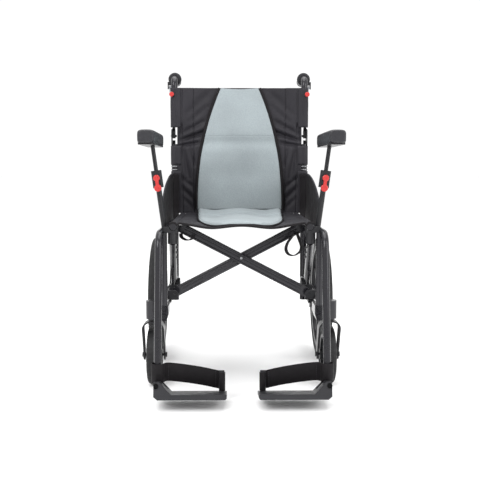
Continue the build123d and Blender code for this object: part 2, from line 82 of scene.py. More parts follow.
# ---- layout of the soft pieces --------------------------------------------------
GAP_LOW, GAP_HIGH = 0.712, 0.768  # opening of the back's sleeves, round the hinge
SEAM_X = 0.154  # where the side panels of the back meet the middle sheet
HEM_X = 0.192  # second seam of a side panel, beside its sleeve
PANEL_OUTER = 0.2085
PIPING_DEPTH = 0.0064  # of the back piping's centre line, ahead of the cloth
SEAT_HALF = 0.2033  # half width of the seat cloth, over both rails
SEAT_INNER = 0.178  # where the seat cloth leaves the rails
PAD_FRONT, PAD_REAR = SEAT_FRONT + 0.004, 0.205
GUARD_X, GUARD_TOE = 0.2215, math.radians(1.9)
STRAP_HALF = 0.0252  # half the width of a heel strap


# ================================ camera and light =============================
def look_camera():
    data = bpy.data.cameras.new("camera")
    data.sensor_width = 36
    data.lens = 55.5
    camera = bpy.data.objects.new("camera", data)
    camera.location = (-0.035, -2.267, 0.625)
    camera.rotation_euler = (math.radians(90 - 5.4), 0, math.radians(-0.84))
    bpy.context.collection.objects.link(camera)
    bpy.context.scene.camera = camera


def area_light(name, place, target, size, power):
    data = bpy.data.lights.new(name, "AREA")
    data.shape = "RECTANGLE"
    data.size, data.size_y = size
    data.energy = power
    lamp = bpy.data.objects.new(name, data)
    lamp.location = place
    lamp.rotation_euler = (Vector(target) - Vector(place)).to_track_quat("-Z", "Y").to_euler()
    bpy.context.collection.objects.link(lamp)


def studio():
    world = bpy.data.worlds.new("studio")
    world.use_nodes = True
    sky = world.node_tree.nodes["Background"]
    sky.inputs["Color"].default_value = (1, 1, 1, 1)
    sky.inputs["Strength"].default_value = 1.05
    bpy.context.scene.world = world
    bpy.context.scene.view_settings.view_transform = "Standard"
    area_light("key", (-1.6, -2.2, 2.4), (0, 0, 0.5), (1.6, 1.6), 55)
    area_light("fill", (2.2, -1.8, 1.6), (0, 0, 0.5), (1.2, 2.0), 35)
    area_light("top", (0, 0.2, 3.0), (0, 0, 0), (2.5, 2.5), 60)
    bpy.ops.mesh.primitive_grid_add(x_subdivisions=2, y_subdivisions=2, size=160,
                                    location=(0, 0, -0.0005))
    floor = bpy.context.object
    floor.name = "floor"
    floor.data.materials.append(
        surface("floor_paint", (0.97, 0.97, 0.97), 0.85, mottle=(3, 0.99), grain=(90, 0.0001))
    )


# =================================== materials =================================
WAVE_SCALE = 0.314  # divided by a pitch in metres, it gives one thread to each pitch


def surface(name, color, rough, metallic=0.0, mottle=(12, 0.85), rough_spread=0.08,
            grain=(900, 0.00005), weave=None, cells=None, **uniform):
    """A node material: mottled colour, uneven roughness and a bump of grain, weave or cells.

    mottle is (scale, darkest share of the colour); grain is (scale, height in metres);
    weave is (thread pitch, height); cells is (scale, height, share of colour in the gaps).
    """
    material = bpy.data.materials.new(name)
    material.use_nodes = True
    tree = material.node_tree
    shader = tree.nodes["Principled BSDF"]
    shader.inputs["Metallic"].default_value = metallic
    for socket, value in uniform.items():
        shader.inputs[socket.replace("_", " ")].default_value = value

    def node(kind, **inputs):
        made = tree.nodes.new(kind)
        for socket, value in inputs.items():
            target = made.inputs[socket.replace("_", " ")]
            if isinstance(value, bpy.types.NodeSocket):
                tree.links.new(value, target)
            else:
                target.default_value = value
        return made

    def math_node(operation, first, second):
        made = tree.nodes.new("ShaderNodeMath")
        made.operation = operation
        for socket, value in zip(made.inputs, (first, second)):
            if isinstance(value, bpy.types.NodeSocket):
                tree.links.new(value, socket)
            else:
                socket.default_value = value
        return made.outputs[0]

    place = tree.nodes.new("ShaderNodeTexCoord").outputs["Object"]
    patches = node("ShaderNodeTexNoise", Vector=place, Scale=mottle[0], Detail=6.0).outputs["Fac"]
    shade = node("ShaderNodeMapRange", Value=patches, From_Min=0.3, From_Max=0.7,
                 To_Min=mottle[1], To_Max=1.0).outputs["Result"]
    if cells:
        pores = node("ShaderNodeTexVoronoi", Vector=place, Scale=cells[0]).outputs["Distance"]
        gap = node("ShaderNodeMapRange", Value=pores, From_Min=0.1, From_Max=0.6,
                   To_Min=1.0, To_Max=cells[2]).outputs["Result"]
        shade = math_node("MULTIPLY", shade, gap)
    tint = node("ShaderNodeMix")
    tint.data_type = "RGBA"
    tint.blend_type = "MULTIPLY"
    tint.inputs["Factor"].default_value = 1.0
    tint.inputs[6].default_value = (*color, 1)
    tree.links.new(shade, tint.inputs[7])
    tree.links.new(tint.outputs[2], shader.inputs["Base Color"])
    worn = node("ShaderNodeTexNoise", Vector=place, Scale=mottle[0] * 4, Detail=3.0).outputs["Fac"]
    uneven = node("ShaderNodeMapRange", Value=worn, From_Min=0.3, From_Max=0.7,
                  To_Min=rough - rough_spread, To_Max=rough + rough_spread)
    tree.links.new(uneven.outputs["Result"], shader.inputs["Roughness"])

    fine = node("ShaderNodeTexNoise", Vector=place, Scale=grain[0], Detail=2.0).outputs["Fac"]
    height = math_node("MULTIPLY", fine, grain[1])
    if weave:
        pitch, depth = weave
        for direction in ("X", "Z"):
            threads = tree.nodes.new("ShaderNodeTexWave")
            threads.bands_direction = direction
            threads.inputs["Scale"].default_value = WAVE_SCALE / pitch
            threads.inputs["Distortion"].default_value = 0.6
            tree.links.new(place, threads.inputs["Vector"])
            height = math_node("ADD", height, math_node("MULTIPLY", threads.outputs["Fac"], depth))
    if cells:
        height = math_node("SUBTRACT", height, math_node("MULTIPLY", pores, cells[1]))
    bump = node("ShaderNodeBump", Height=height, Distance=1.0, Strength=1.0)
    tree.links.new(bump.outputs["Normal"], shader.inputs["Normal"])
    return material


PAINT = surface("frame_paint", (0.016, 0.0155, 0.019), 0.24, metallic=0.35, mottle=(14, 0.88),
                rough_spread=0.04, grain=(700, 0.0000008), Coat_Weight=0.22, Coat_Roughness=0.10,
                Specular_IOR_Level=0.36)
METAL = surface("black_metal", (0.010, 0.010, 0.012), 0.32, metallic=0.2, mottle=(20, 0.85),
                rough_spread=0.05, grain=(900, 0.000006), Coat_Weight=0.05, Coat_Roughness=0.3,
                Specular_IOR_Level=0.35)
STEEL = surface("steel", (0.34, 0.345, 0.36), 0.30, metallic=1.0, mottle=(80, 0.7))
PLASTIC = surface("black_plastic", (0.010, 0.010, 0.012), 0.42, mottle=(30, 0.85),
                  grain=(1600, 0.00003),
                  Specular_IOR_Level=0.35)
PLATE = surface("plate_plastic", (0.019, 0.019, 0.022), 0.42, mottle=(14, 0.82),
                grain=(1300, 0.00004),
                Specular_IOR_Level=0.32)
RIM = surface("rim_plastic", (0.014, 0.014, 0.016), 0.38, mottle=(14, 0.85), grain=(1300, 0.00003),
              Specular_IOR_Level=0.4)
SMOKE = surface("clear_grey", (0.22, 0.23, 0.25), 0.22, mottle=(30, 0.85), Coat_Weight=0.4)
RED = surface("red_plastic", (0.47, 0.016, 0.014), 0.30, mottle=(60, 0.85), grain=(1500, 0.00003),
              Coat_Weight=0.3, Coat_Roughness=0.15)
TYRE = surface("tyre", (0.013, 0.013, 0.014), 0.62, mottle=(35, 0.7), grain=(900, 0.00012),
               Specular_IOR_Level=0.3)
GRIP = surface("grip_rubber", (0.018, 0.018, 0.022), 0.36, mottle=(40, 0.8), grain=(1500, 0.00004),
               Specular_IOR_Level=0.4, Coat_Weight=0.1)
FOAM = surface("arm_foam", (0.017, 0.017, 0.021), 0.42, mottle=(30, 0.85),
               cells=(900, 0.00006, 0.9), Specular_IOR_Level=0.4)
NYLON = surface("black_cloth", (0.022, 0.0205, 0.0255), 0.58, mottle=(9, 0.66),
                weave=(0.0011, 0.00006),
                grain=(1500, 0.00004), Sheen_Weight=0.03, Sheen_Roughness=0.4,
                Specular_IOR_Level=0.22)
GUARD = surface("guard_cloth", (0.013, 0.0115, 0.013), 0.66, mottle=(11, 0.75),
                weave=(0.0012, 0.00006),
                grain=(1500, 0.00004), Sheen_Weight=0.02, Sheen_Roughness=0.4,
                Specular_IOR_Level=0.18)
MESH = surface("grey_cloth", (0.335, 0.382, 0.400), 0.80, mottle=(6, 0.74),
               cells=(420, 0.00022, 0.80), Sheen_Weight=0.06, Sheen_Roughness=0.5)
WEBBING = surface("webbing", (0.0075, 0.0062, 0.0075), 0.62, mottle=(30, 0.65),
                  weave=(0.0016, 0.00012),
                  Sheen_Weight=0.02, Sheen_Roughness=0.4, Specular_IOR_Level=0.18)
# painted shade: a near-black, barely reflecting colour that stands for the shadow inside a bore
BORE_SHADE = surface("bore_shade", (0.003, 0.003, 0.0035), 0.8, mottle=(60, 0.8), Specular_IOR_Level=0.1)
THREAD = surface("thread", (0.040, 0.038, 0.045), 0.75, mottle=(200, 0.8), weave=(0.0005, 0.00005))

SLOTS = {
    "frame_paint": PAINT, "black_metal": METAL, "steel": STEEL, "black_plastic": PLASTIC,
    "plate_plastic": PLATE, "rim_plastic": RIM, "clear_grey": SMOKE, "red_plastic": RED,
    "tyre": TYRE, "grip_rubber": GRIP, "arm_foam": FOAM, "black_cloth": NYLON,
    "guard_cloth": GUARD, "grey_cloth": MESH, "webbing": WEBBING,
}


def dress_cad():
    """Give every CAD node the material of its slot."""
    for part in frame["record"]["subparts"]:
        piece = frame["nodes"][part["node"]]
        piece.data.materials.clear()
        piece.data.materials.append(SLOTS[part["material_slot"]])


# ================================= mesh helpers ================================
def add_mesh(name, points, faces, material, slot):
    mesh = bpy.data.meshes.new(name)
    mesh.from_pydata([tuple(p) for p in points], [], faces)
    mesh.materials.append(material)
    for face in mesh.polygons:
        face.use_smooth = True
    mesh.update()
    piece = bpy.data.objects.new(name, mesh)
    bpy.context.collection.objects.link(piece)
    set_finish(piece, slot)
    return piece


def settle(piece, *modifiers):
    """Add modifiers, given as (type, settings), and apply them to the mesh."""
    for kind, settings in modifiers:
        modifier = piece.modifiers.new(kind.lower(), kind)
        for key, value in settings.items():
            setattr(modifier, key, value)
    seen = piece.evaluated_get(bpy.context.evaluated_depsgraph_get())
    mesh = bpy.data.meshes.new_from_object(seen)
    piece.modifiers.clear()
    piece.data = mesh
    return piece


def sheet_piece(name, point, across, along, thick, material, slot):
    """A cloth of real thickness over point(u, v), with u across and v along from 0 to 1."""
    points = [point(i / across, j / along) for j in range(along + 1) for i in range(across + 1)]
    wide = across + 1
    faces = [(j * wide + i, j * wide + i + 1, (j + 1) * wide + i + 1, (j + 1) * wide + i)
             for j in range(along) for i in range(across)]
    piece = add_mesh(name, points, faces, material, slot)
    return settle(piece, ("SOLIDIFY", {"thickness": thick, "offset": 0}))


def slab_piece(name, front, behind, cols, rows, material, slot):
    """A closed pad between two grids of (cols + 1) by (rows + 1) points."""
    wide, count = cols + 1, len(front)
    faces = []
    for j in range(rows):
        for i in range(cols):
            a = j * wide + i
            faces.append((a, a + 1, a + wide + 1, a + wide))
            faces.append((count + a + wide, count + a + wide + 1, count + a + 1, count + a))
    rim = ([i for i in range(cols)] + [j * wide + cols for j in range(rows)]
           + [rows * wide + i for i in range(cols, 0, -1)] + [j * wide for j in range(rows, 0, -1)])
    for a, b in zip(rim, rim[1:] + rim[:1]):
        faces.append((b, a, count + a, count + b))
    return add_mesh(name, front + behind, faces, material, slot)


def bar(name, path, material, slot, radius, cyclic=False):
    """A round bar or cord-like trim along a path."""
    data = bpy.data.curves.new(name, "CURVE")
    data.dimensions = "3D"
    data.bevel_depth = radius
    data.bevel_resolution = 3
    data.use_fill_caps = True
    line = data.splines.new("POLY")
    line.points.add(len(path) - 1)
    for spot, place in zip(line.points, path):
        spot.co = (*place, 1)
    line.use_cyclic_u = cyclic
    curve = bpy.data.objects.new(name, data)
    bpy.context.collection.objects.link(curve)
    seen = curve.evaluated_get(bpy.context.evaluated_depsgraph_get())
    mesh = bpy.data.meshes.new_from_object(seen)
    bpy.data.objects.remove(curve)
    mesh.materials.clear()
    mesh.materials.append(material)
    for face in mesh.polygons:
        face.use_smooth = True
    piece = bpy.data.objects.new(name, mesh)
    bpy.context.collection.objects.link(piece)
    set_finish(piece, slot)
    return piece


def join(name, pieces):
    """Several small meshes of one material as one piece."""
    points, faces = [], []
    for piece in pieces:
        first = len(points)
        points += [v.co.copy() for v in piece.data.vertices]
        faces += [tuple(first + i for i in face.vertices) for face in piece.data.polygons]
    material, slot = pieces[0].data.materials[0], pieces[0]["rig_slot"]
    for piece in pieces:
        bpy.data.objects.remove(piece)
    return add_mesh(name, points, faces, material, slot)


def ribbon_faces(count):
    """Faces of a ribbon whose sections are count rings of four points."""
    faces = []
    for i in range(count - 1):
        a, b = i * 4, i * 4 + 4
        faces += [(a + k, a + (k + 1) % 4, b + (k + 1) % 4, b + k) for k in range(4)]
    return faces + [(3, 2, 1, 0), tuple(count * 4 - 4 + k for k in range(4))]


def band(name, path, half, thick, material, slot):
    """A flat band standing on edge: path gives its middle line, half its half width."""
    points = []
    up = Vector((0, 0, half))
    for i, middle in enumerate(path):
        run = (path[min(len(path) - 1, i + 1)] - path[max(0, i - 1)]).normalized()
        out = Vector((run.y, -run.x, 0)).normalized() * thick / 2
        points += [middle - out - up, middle + out - up, middle + out + up, middle - out + up]
    piece = add_mesh(name, points, ribbon_faces(len(path)), material, slot)
    return settle(piece, ("BEVEL", {"width": thick * 0.3, "segments": 2, "limit_method": "ANGLE"}))


def smooth_path(stops, steps=8):
    """Points along a Catmull-Rom curve through the stops."""
    stops = [Vector(s) for s in stops]
    ends = [stops[0]] + stops + [stops[-1]]
    path = []
    for a, b, c, d in zip(ends, ends[1:], ends[2:], ends[3:]):
        for i in range(steps):
            t = i / steps
            path.append(0.5 * (2 * b + (c - a) * t + (2 * a - 5 * b + 4 * c - d) * t * t
                               + (3 * b - a - 3 * c + d) * t ** 3))
    return path + [stops[-1]]


def stitches(name, path, pitch=0.0045, radius=0.0005):
    """A row of short raised stitches along a path."""
    made = []
    for start, end in zip(path, path[1:]):
        start, end = Vector(start), Vector(end)
        count = max(1, round((end - start).length / pitch))
        for i in range(count):
            a = start.lerp(end, (i + 0.15) / count)
            b = start.lerp(end, (i + 0.80) / count)
            run = (b - a).normalized()
            side = run.orthogonal().normalized() * radius
            other = run.cross(side)
            made.append((a, b, [side, other, -side, -other]))
    points, faces = [], []
    for a, b, ring in made:
        k = len(points)
        for place, swell in ((a, 0.6), ((a + b) / 2, 1.3), (b, 0.6)):
            points += [place + r * swell for r in ring]
        for base in (k, k + 4):
            faces += [(base + i, base + (i + 1) % 4, base + 4 + (i + 1) % 4, base + 4 + i)
                      for i in range(4)]
        faces += [(k + 3, k + 2, k + 1, k), (k + 8, k + 9, k + 10, k + 11)]
    return add_mesh(name, points, faces, THREAD, "black_cloth")


def turned(name, profile, centre, material, slot, steps, groove):
    """A body of revolution about X: profile is a closed loop of (x, radius).

    groove(k, x, radius) is how far the surface is cut in at step k of the turn.
    """
    points, faces = [], []
    count = len(profile)
    for k in range(steps):
        turn = 2 * math.pi * k / steps
        for x, r in profile:
            radius = r - groove(k, x, r)
            points.append(centre + Vector((x, radius * math.cos(turn), radius * math.sin(turn))))
    for k in range(steps):
        a, b = k * count, ((k + 1) % steps) * count
        faces += [(a + i, a + (i + 1) % count, b + (i + 1) % count, b + i) for i in range(count)]
    return add_mesh(name, points, faces, material, slot)


def gauss(distance, width):
    """A smooth bump: 1 at no distance, and nearly 0 past twice the width."""
    return math.exp(-(distance / width) ** 2)


def crease(x, z, start, end, width):
    """How deep a fold from start to end is at (x, z): 1 on its line, fading beside it."""
    ax, az = start
    bx, bz = end
    run = (bx - ax) ** 2 + (bz - az) ** 2
    t = max(0, min(1, ((x - ax) * (bx - ax) + (z - az) * (bz - az)) / run))
    gap = math.hypot(x - ax - t * (bx - ax), z - az - t * (bz - az))
    return gauss(gap, width) * (0.35 + 0.65 * math.sin(math.pi * (0.12 + 0.76 * t)))


# ================================= back upholstery =============================
def back_y(x):
    """The back cloth hangs a little behind the line of the posts."""
    return 0.240 + 0.0015 * (1 - (x / POST_X) ** 2)


# folds of one side panel, as (outboard x, z) ends, width and depth
PANEL_FOLDS = (
    ((0.200, 0.724), (0.118, 0.752), 0.008, 0.016),
    ((0.203, 0.707), (0.140, 0.716), 0.007, 0.012),
    ((0.192, 0.748), (0.122, 0.786), 0.009, 0.009),
    ((0.200, 0.735), (0.196, 0.775), 0.006, 0.008),
    ((0.190, 0.700), (0.172, 0.600), 0.009, 0.009),
    ((0.163, 0.704), (0.150, 0.640), 0.006, 0.006),
    ((0.175, 0.815), (0.108, 0.868), 0.011, 0.0045),
    ((0.165, 0.788), (0.112, 0.835), 0.010, 0.0045),
    ((0.150, 0.850), (0.096, 0.888), 0.010, 0.0030),
    ((0.198, 0.600), (0.156, 0.566), 0.009, 0.006),
    ((0.196, 0.566), (0.150, 0.520), 0.010, 0.006),
    ((0.190, 0.530), (0.160, 0.500), 0.009, 0.004),
)


def panel_depth(x, z, s):
    """Depth of the cloth's folds and slack at a place on side s of the back."""
    out = abs(x)
    depth = sum(d * crease(out, z, a, b, w) for a, b, w, d in PANEL_FOLDS)
    slack = 0.0016 * noise.noise(Vector((x * 25, 3.1 * s, z * 18)))
    seam = 0.0020 * gauss(out - HEM_X, 0.0018) + 0.0028 * gauss(out - SEAM_X, 0.0022)
    return depth + slack + seam


def back_panels():
    """Side panels that bend over the hinge, and the hem tunnels round the posts."""
    for side, s in SIDES:
        def point(u, v):
            z = BACK_LOW + (BACK_TOP - BACK_LOW) * v
            x = s * (PANEL_OUTER + (SEAM_X - PANEL_OUTER) * u)
            return (x, back_y(x) + panel_depth(x, z, s), z)

        panel = sheet_piece(f"back_panel_{side}", point, 44, 150, 0.0018, NYLON, "black_cloth")
        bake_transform(panel)
        for part, low, high, body in (("upper", GAP_HIGH, BACK_TOP, f"back_upper_{side}"),
                                      ("lower", 0.643, GAP_LOW - 0.006, f"frame_{side}"),
                                      ("foot", BACK_LOW, 0.621, f"frame_{side}")):
            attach(sleeve(f"sleeve_{part}_{side}", s, low, high), body)
        for out in (HEM_X, SEAM_X):
            for part, low, high, body in (("up", 0.775, 0.893, f"back_upper_{side}"),
                                          ("low", 0.500, 0.700, f"frame_{side}")):
                levels = [low + (high - low) * i / 12 for i in range(13)]
                path = [(s * out, back_y(out) + panel_depth(s * out, z, s) - 0.0012, z)
                        for z in levels]
                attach(stitches(f"seam_{round(out * 1000)}_{part}_{side}", path), body)


def sleeve(name, s, low, high):
    """The hem tunnel round a back post, with the flap that joins it to the panel."""
    flap = 0.16  # share of the cloth that lies in the flap
    flap_x, flap_lead = 0.197, 0.0022
    start, end = math.radians(62), math.radians(352)

    def point(u, v):
        z = low + (high - low) * v
        slack = 0.0007 * noise.noise(Vector((u * 6, 5 + s, z * 35)))
        reach = 0.0126 + slack
        turn = start + (end - start) * max(0, u - flap) / (1 - flap)
        x = POST_X - reach * math.cos(turn)
        y = POST_Y - reach * math.sin(turn)
        if u < flap:
            k = u / flap
            x = flap_x + (x - flap_x) * k
            y = back_y(flap_x) - flap_lead + (y - back_y(flap_x) + flap_lead) * k ** 1.5
        return (s * x, y, z)

    steps = max(4, round((high - low) / 0.006))
    return sheet_piece(name, point, 40, steps, 0.0016, NYLON, "black_cloth")


def middle_sheets():
    """The middle of the back cloth, in two sheets that overlap at the hinge line."""
    for part, low, high, behind, body in (
        ("upper", HINGE_Z - 0.004, BACK_TOP - 0.0003, 0, "back_upper_left"),
        ("lower", BACK_LOW, HINGE_Z + 0.004, 0.0026, "frame_left"),
    ):
        def point(u, v, low=low, high=high, behind=behind):
            z = low + (high - low) * v
            x = (SEAM_X + 0.0006) * (2 * u - 1)
            tuck = behind * max(0, 1 - abs(z - HINGE_Z) / 0.012)
            folds = panel_depth(x, z, math.copysign(1, x)) * min(1, abs(x) / 0.1)
            return (x, back_y(x) + 0.0006 + tuck + folds, z)

        cloth = sheet_piece(f"back_middle_{part}", point, 100, 70, 0.0018, NYLON, "black_cloth")
        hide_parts(f"back_sling_{part}")
        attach(cloth, body)
        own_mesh(cloth)


def pad_half(z):
    """Half width of the pale panel: narrow at the top, wide at the seat."""
    t = (BACK_TOP - z) / (BACK_TOP - 0.5)
    return 0.066 + 0.080 * (1 - max(0, 1 - t) ** 2.2)


def back_pads():
    """The pale padded panel, parted at the hinge line, with piping down its sides."""
    for part, low, high, body in (("upper", HINGE_Z - 0.001, BACK_TOP - 0.0015, "back_upper_left"),
                                  ("lower", 0.493, HINGE_Z + 0.0005, "frame_left")):
        rows, cols = 60, 48

        def front(u, v, low=low, high=high):
            z = low + (high - low) * v
            half = pad_half(z) - 0.001
            x = half * (2 * u - 1)
            edge = min(1, (1 - abs(2 * u - 1)) * half / 0.010)
            puff = 0.0065 * math.sqrt(max(0, 1 - (1 - edge) ** 2))
            dent = 0.0052 * gauss(z - 0.718, 0.019) + 0.0018 * gauss(z - 0.610, 0.030)
            dip = 0.004 * gauss(x, 0.05) * max(0, v * 12 - 11) if high > HINGE_Z + 0.01 else 0
            slack = 0.0012 * noise.noise(Vector((x * 14, 1.7, z * 9)))
            return (x, back_y(x) - 0.0048 - puff + dent * edge + slack, z - dip)

        grid = [front(i / cols, j / rows) for j in range(rows + 1) for i in range(cols + 1)]
        behind = [(x, back_y(x) - 0.0026, z) for x, _, z in grid]
        pad = slab_piece(f"back_pad_soft_{part}", grid, behind, cols, rows, MESH, "grey_cloth")
        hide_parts(f"back_pad_{part}")
        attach(pad, body)
        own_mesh(pad)
        for side, s in SIDES:
            levels = [low + (high - low) * i / 40 for i in range(41)]
            path = [(s * pad_half(z), back_y(pad_half(z)) - PIPING_DEPTH, z) for z in levels]
            piping = bar(f"piping_{part}_{side}", path, WEBBING, "webbing", radius=0.0052)
            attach(piping, body)
            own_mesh(piping)


# ===================================== seat =====================================
def seat_z(x):
    """Top of the seat cloth across the chair, over both rails."""
    out = abs(x)
    if out > SEAT_INNER:
        reach = RAIL_R + 0.0015
        side = max(-1, min(1, (out - RAIL_X) / reach))
        return RAIL_Z + reach * math.sqrt(max(0, 1 - side * side))
    t = x / SEAT_INNER
    hollow = 0.012 * (1 - t * t) + 0.005 * gauss(abs(t) - 0.5, 0.25)
    return 0.479 - hollow + 0.0048 * gauss(t, 0.3)


def seat_cloth():
    """The seat sheet, stretched over both rails, with its bound front edge."""
    def point(u, v):
        x = SEAT_HALF * (2 * u - 1)
        y = SEAT_FRONT + (SEAT_REAR - SEAT_FRONT) * v
        lift = 0.010 * max(0, (y - 0.13) / 0.08) ** 2 * (1 - (x / SEAT_HALF) ** 4)
        slack = 0.0018 * noise.noise(Vector((x * 18, y * 14, 2.2)))
        pull = 0.003 * crease(abs(x), y, (0.19, -0.18), (0.12, 0.15), 0.012)
        pull += 0.003 * crease(abs(x), y, (0.15, -0.20), (0.13, 0.05), 0.010)
        return (x, y, seat_z(x) + lift + (slack - pull) * (1 if abs(x) < 0.175 else 0))

    cloth = sheet_piece("seat_cloth", point, 110, 70, 0.0022, NYLON, "black_cloth")
    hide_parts("seat_sling")
    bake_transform(cloth)
    across = [0.2 * (i / 30 - 1) for i in range(61)]
    hem = [(x, SEAT_FRONT - 0.001, seat_z(x) - 0.0005) for x in across]
    edge = bar("seat_front_hem", hem, WEBBING, "webbing", radius=0.0036)
    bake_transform(edge)


def seat_half(y):
    """Half width of the pale seat pad, with long rounded corners in front."""
    begin, corner, power = 0.045, 0.085, 2.6
    t = min(1, max(0, (begin - y) / (begin - PAD_FRONT)))
    return 0.130 + 0.05 * y - corner * (1 - max(0, 1 - t ** power) ** (1 / power))


def seat_pad_outline(steps=90):
    """The pad's rim from the rear left corner round the front to the rear right."""
    ys = [PAD_REAR + (PAD_FRONT - PAD_REAR) * math.sin(math.pi / 2 * i / steps)
          for i in range(steps + 1)]
    left = [(-seat_half(y), y) for y in ys]
    return left + [(-x, y) for x, y in reversed(left)]


def pad_top(x, y):
    """Height of the seat pad's rim, with the crease and the rise at its rear."""
    rear_line = 0.128 + 0.02 * gauss(x, 0.05) - 0.012 * abs(x) / 0.13
    lift = 0.012 * max(0, (y - 0.12) / 0.08) ** 2
    fold = 0.007 * gauss(y - rear_line, 0.010) - 0.004 * gauss(y - rear_line - 0.025, 0.014)
    return seat_z(x) + 0.001 + lift - fold


def seat_pad():
    """The pale seat pad: a crowned slab on the seat cloth, with piping round its rim."""
    rows, cols = 90, 60
    rear = PAD_REAR + 0.001

    def spot(u, v):
        y = PAD_FRONT + (rear - PAD_FRONT) * (1 - math.cos(math.pi / 2 * v))
        half = seat_half(y)
        x = half * (2 * u - 1)
        near = min((1 - abs(2 * u - 1)) * half, y - PAD_FRONT + 0.0001)
        puff = 0.013 * math.sqrt(max(0, 1 - (1 - min(1, near / 0.016)) ** 2))
        slack = 0.0012 * noise.noise(Vector((x * 16, y * 11, 7.7)))
        return Vector((x, y, pad_top(x, y) + puff + slack)), Vector((x, y, seat_z(x) + 0.0015))

    top, under = [], []
    for j in range(rows + 1):
        for i in range(cols + 1):
            a, b = spot(i / cols, j / rows)
            top.append(a)
            under.append(b)
    pad = slab_piece("seat_pad_soft", top, under, cols, rows, MESH, "grey_cloth")
    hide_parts("seat_pad")
    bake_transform(pad)
    path = [(x, y, pad_top(x, y) + 0.002) for x, y in seat_pad_outline()]
    piping = bar("seat_piping", path, WEBBING, "webbing", radius=0.0032)
    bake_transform(piping)


# ================================ side guards and arms ==========================
def side_guards():
    """Cloth-covered boards with a bound edge, sewn to the back cloth by a flap."""
    for side, s in SIDES:
        low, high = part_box(f"side_guard_{side}")
        front, tail = low.y + 0.002, high.y - 0.001

        def point(u, v):
            y = front + (tail - front) * u
            brow = high.z - 0.001 - 0.084 * (1 - u) ** 2.4
            z = low.z - 0.015 + (brow - low.z + 0.015) * v
            bulge = 0.0045 * math.sin(math.pi * u) * math.sin(math.pi * v)
            slack = 0.0012 * noise.noise(Vector((y * 20, z * 22, s)))
            toe = (POST_Y - 0.014 - y) * math.tan(GUARD_TOE)
            return (s * (GUARD_X + toe + bulge + slack), y, z)

        cloth = sheet_piece(f"guard_cloth_{side}", point, 50, 30, 0.003, GUARD, "guard_cloth")
        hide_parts(f"side_guard_{side}")
        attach(cloth, f"frame_{side}")
        rim = ([point(0.004, v / 20) for v in range(21)] + [point(u / 20, 1) for u in range(1, 21)])
        hem = bar(f"guard_hem_{side}", rim, NYLON, "guard_cloth", radius=0.0026)
        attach(hem, f"frame_{side}")

        def flap_point(u, v):
            z = low.z - 0.012 + (0.624 - low.z) * v
            return (s * (GUARD_X - 0.0165 * u), 0.214 + 0.0215 * u + 0.001 * math.sin(9 * v), z)

        flap = sheet_piece(f"guard_flap_{side}", flap_point, 10, 24, 0.002, GUARD, "guard_cloth")
        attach(flap, f"frame_{side}")


def signed_power(value, exponent):
    return math.copysign(abs(value) ** exponent, value)


def arm_pads():
    """Foam arm pads: superellipsoids with a flatter underside that hides the tray."""
    end_round, top_round, under_round = 0.22, 0.42, 0.30
    for side, _ in SIDES:
        low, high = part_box(f"arm_pad_{side}")
        low = Vector((low.x, low.y, low.z - 0.0065))  # its skirt hides the tray
        middle = (low + high) / 2
        half = (high - low) / 2 - Vector((0.0015, 0.0015, 0.001))
        rows, cols = 48, 40
        points, faces = [], []

        for j in range(1, rows):
            tilt = math.pi * j / rows - math.pi / 2
            for i in range(cols):
                turn = 2 * math.pi * i / cols
                ring = signed_power(math.cos(tilt), 0.16)
                x = half.x * ring * signed_power(math.cos(turn), top_round)
                y = half.y * signed_power(math.sin(tilt), end_round)
                rise = math.sin(turn)
                z = half.z * ring * signed_power(rise, top_round if rise > 0 else under_round)
                if z > 0:
                    z *= 1 - 0.10 * (x / half.x) ** 2
                points.append(middle + Vector((x, y, z)))
        first, last = len(points), len(points) + 1
        points += [middle - Vector((0, half.y, 0)), middle + Vector((0, half.y, 0))]
        for j in range(rows - 2):
            for i in range(cols):
                a, b = j * cols + i, j * cols + (i + 1) % cols
                faces.append((a, b, b + cols, a + cols))
        for i in range(cols):
            faces.append((first, (i + 1) % cols, i))
            end = (rows - 2) * cols
            faces.append((last, end + i, end + (i + 1) % cols))
        pad = add_mesh(f"arm_pad_soft_{side}", points, faces, FOAM, "arm_foam")
        settle(pad, ("SUBSURF", {"levels": 1, "render_levels": 1}))
        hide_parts(f"arm_pad_{side}")
        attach(pad, f"armrest_{side}")


# ==================================== straps ====================================
def strap_z(x):
    """Height of a heel strap's middle line: level round the leg, then falling inboard."""
    return 0.056 + 0.034 * min(1, max(0, (x - 0.05) / 0.156))


def heel_straps():
    """Woven bands that run round the leg and the tab of the footplate."""
    for side, s in SIDES:
        run = ((0.229, -0.3245), (0.2405, -0.335), (0.2395, -0.349), (0.226, -0.3560),
               (0.2125, -0.350), (0.2055, -0.337), (0.192, -0.3235), (0.150, -0.3085),
               (0.105, -0.3005), (0.068, -0.3015), (0.0545, -0.3010), (0.0475, -0.3085),
               (0.052, -0.3170), (0.062, -0.3175))
        path = smooth_path([(s * x, y, strap_z(x)) for x, y in run])
        strap = band(f"heel_band_{side}", path, STRAP_HALF, 0.0026, WEBBING, "webbing")
        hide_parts(f"heel_strap_{side}")
        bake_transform(strap)
        for x, y in ((0.198, -0.3300), (0.072, -0.3040)):
            path = [(s * x, y, strap_z(x) - 0.023 + 0.046 * i / 8) for i in range(9)]
            row = stitches(f"heel_seam_{round(x * 1000)}_{side}", path)
            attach(row, f"frame_{side}" if x > 0.15 else f"footplate_{side}")


